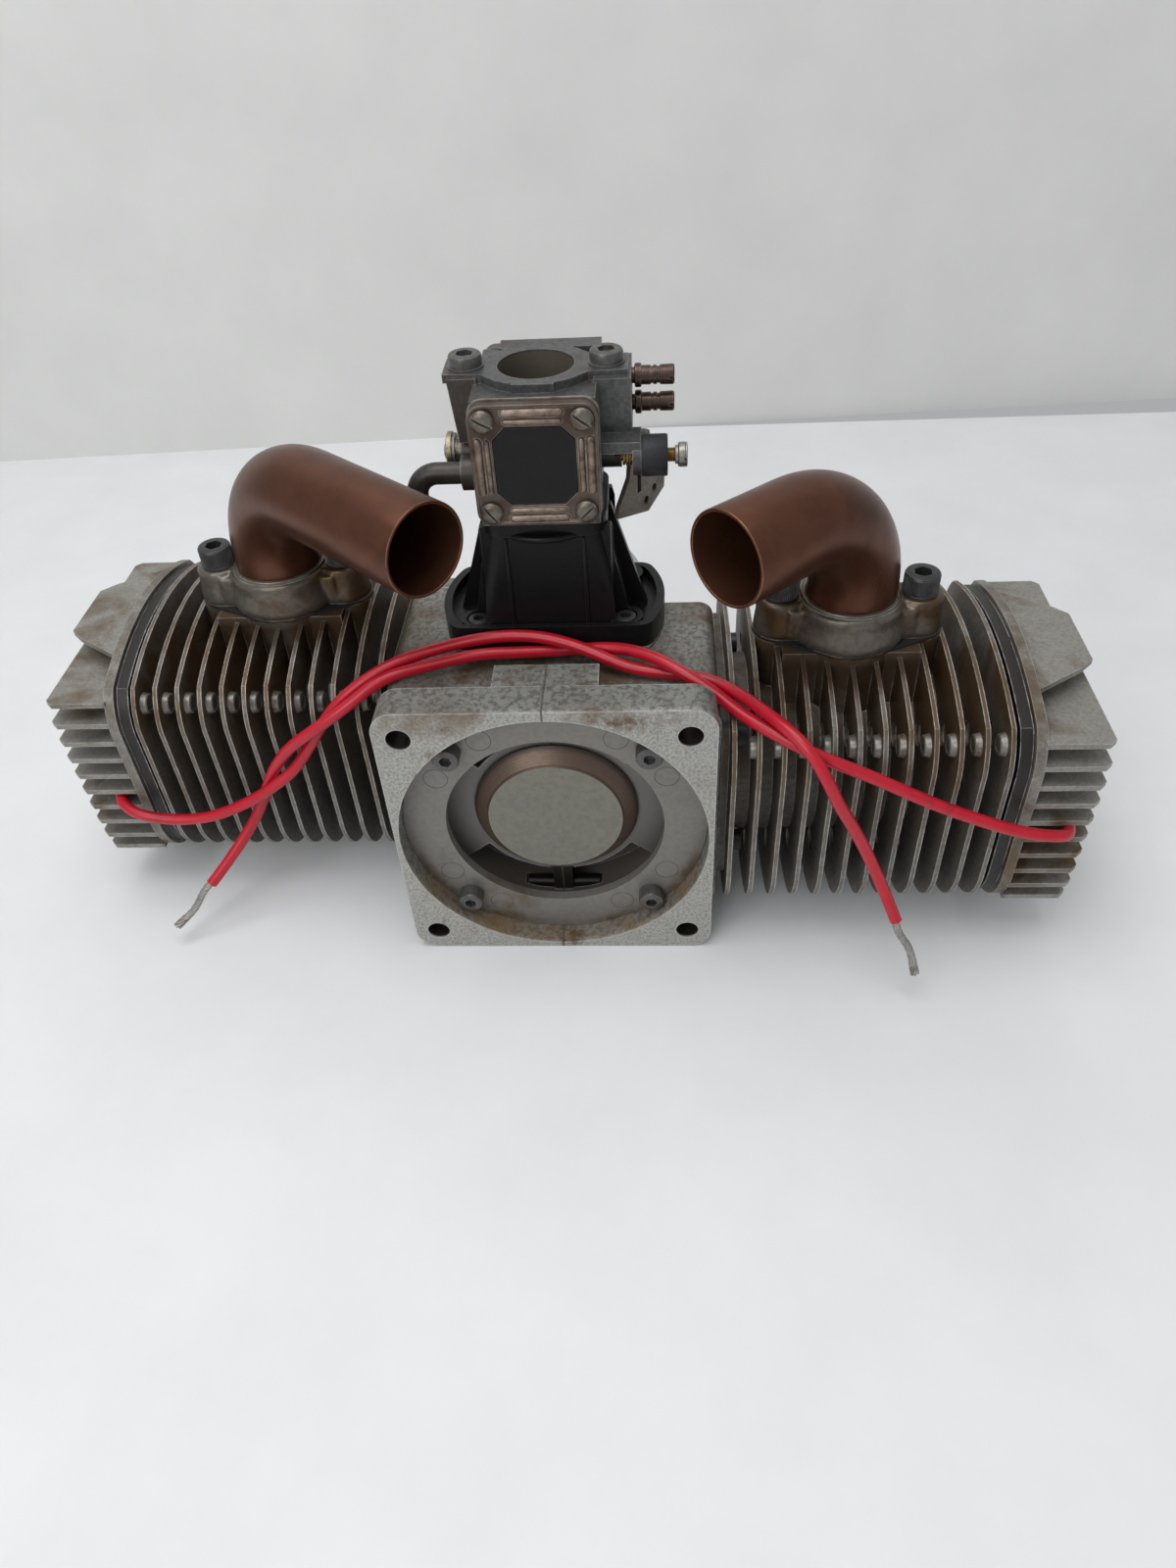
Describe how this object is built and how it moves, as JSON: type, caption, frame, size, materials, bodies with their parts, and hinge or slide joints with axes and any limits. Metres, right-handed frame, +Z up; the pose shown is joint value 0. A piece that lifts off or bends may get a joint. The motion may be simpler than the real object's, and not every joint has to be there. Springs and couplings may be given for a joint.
{
  "type": "flat twin aircraft engine",
  "caption": "Flat two-stroke aircraft engine with opposed finned cylinders, a square mounting flange, top carburettor, bent exhaust stubs and a rear propeller hub.",
  "frame": {"origin": "centre of the front mounting flange's face, on the crankshaft axis", "axes": "+X to the right-hand cylinder seen from the flange, +Y along the crankshaft towards the propeller hub, +Z up through the carburettor"},
  "size_m": [0.399, 0.2016, 0.219],
  "materials": {
    "cast_case": "sand-cast, speckled, oil-stained",
    "dark_ring": "smooth dark grey",
    "black_steel": "black oxide",
    "bearing_steel": "ground",
    "machined_aluminium": "machined",
    "rotor_brown": "turned, heat-tinted brown",
    "forged_steel": "forged and ground",
    "cylinder_alloy": "die-cast, darkened by heat, bright worn edges",
    "head_alloy": "die-cast, darkened by heat",
    "gasket_black": "squeezed fibre gasket",
    "plug_steel": "plated",
    "exhaust_casting": "cast, brown with oil",
    "copper_brown": "oxidised brown copper with a bright rim",
    "intake_plastic": "black moulded",
    "reed_composite": "fibre laminate",
    "carb_gunmetal": "dark gunmetal zinc",
    "carb_brown": "stamped steel, brown with fuel",
    "worn_steel": "dull plated",
    "brass": "turned",
    "red_insulation": "glossy silicone",
    "tinned_wire": "tinned strand"
  },
  "bodies": {
    "engine": {"crankcase_right": "cast_case", "crankcase_left": "cast_case", "front_ring_plate": "dark_ring", "ring_screws": "black_steel", "crankcase_bolts": "black_steel", "front_bearing": "bearing_steel", "rear_bearing": "bearing_steel", "rear_cover": "machined_aluminium", "rear_cover_screws": "black_steel", "cylinder_right": "cylinder_alloy", "cylinder_left": "cylinder_alloy", "cylinder_gaskets": "gasket_black", "cylinder_base_screws": "black_steel", "head_right": "head_alloy", "head_left": "head_alloy", "head_bolts": "black_steel", "spark_plug_right": "plug_steel", "spark_plug_left": "plug_steel", "exhaust_gaskets": "gasket_black", "exhaust_flange_right": "exhaust_casting", "exhaust_flange_left": "exhaust_casting", "exhaust_flange_screws": "black_steel", "exhaust_pipe_right": "copper_brown", "exhaust_pipe_left": "copper_brown", "intake_manifold": "intake_plastic", "intake_screws": "black_steel", "reed_block": "gasket_black", "reed_petals": "reed_composite", "carburettor_body": "carb_gunmetal", "pump_cover": "carb_brown", "pump_cover_panel": "intake_plastic", "metering_cover": "carb_gunmetal", "carburettor_cover_screws": "worn_steel", "carburettor_bolts": "black_steel", "fuel_inlet_elbow": "carb_gunmetal", "idle_screw_sleeve": "intake_plastic", "lead_left": "red_insulation", "lead_right": "red_insulation", "lead_ends": "tinned_wire"},
    "crankshaft": {"crankshaft_front": "forged_steel", "crankshaft_centre_web": "forged_steel", "crankshaft_rear": "forged_steel", "rotor_hub": "rotor_brown", "propeller_hub": "machined_aluminium"},
    "piston_right": {"piston_right": "machined_aluminium", "piston_rings_right": "bearing_steel", "wrist_pin_right": "bearing_steel"},
    "piston_left": {"piston_left": "machined_aluminium", "piston_rings_left": "bearing_steel", "wrist_pin_left": "bearing_steel"},
    "rod_right": {"connecting_rod_right": "forged_steel", "crankpin_right": "bearing_steel"},
    "rod_left": {"connecting_rod_left": "forged_steel", "crankpin_left": "bearing_steel"},
    "throttle": {"throttle_shaft": "worn_steel", "throttle_plate": "brass", "throttle_lever": "worn_steel"},
    "needle_high": {"mixture_needle_high": "carb_gunmetal"},
    "needle_low": {"mixture_needle_low": "carb_gunmetal"},
    "idle_screw": {"idle_screw": "brass"}
  },
  "joints": [
    {"name": "crankshaft_spin", "type": "hinge", "parent": "engine", "child": "crankshaft", "pos_m": [0, 0.075, 0], "axis": [0, 1, 0], "continuous": true},
    {"name": "piston_right_stroke", "type": "slide", "parent": "engine", "child": "piston_right", "axis": [1, 0, 0], "range_m": [-0.05, 0]},
    {"name": "piston_left_stroke", "type": "slide", "parent": "engine", "child": "piston_left", "axis": [-1, 0, 0], "range_m": [-0.05, 0]},
    {"name": "rod_right_swing", "type": "hinge", "parent": "piston_right", "child": "rod_right", "pos_m": [0.137, 0.0588, 0], "axis": [0, 1, 0], "range_deg": [-12.9, 12.9]},
    {"name": "rod_left_swing", "type": "hinge", "parent": "piston_left", "child": "rod_left", "pos_m": [-0.137, 0.0902, 0], "axis": [0, 1, 0], "range_deg": [-12.9, 12.9]},
    {"name": "throttle_turn", "type": "hinge", "parent": "engine", "child": "throttle", "pos_m": [0, 0.075, 0.122], "axis": [1, 0, 0], "range_deg": [0, 75], "stiffness_Nm_per_rad": 0.03, "springref_deg": -28.65},
    {"name": "needle_high_turn", "type": "hinge", "parent": "engine", "child": "needle_high", "pos_m": [0.04, 0.077, 0.1462], "axis": [1, 0, 0], "range_deg": [-180, 180]},
    {"name": "needle_low_turn", "type": "hinge", "parent": "engine", "child": "needle_low", "pos_m": [0.04, 0.077, 0.137], "axis": [1, 0, 0], "range_deg": [-180, 180]},
    {"name": "idle_screw_turn", "type": "hinge", "parent": "engine", "child": "idle_screw", "pos_m": [0.04, 0.062, 0.1245], "axis": [1, 0, 0], "range_deg": [-180, 180]}
  ]
}
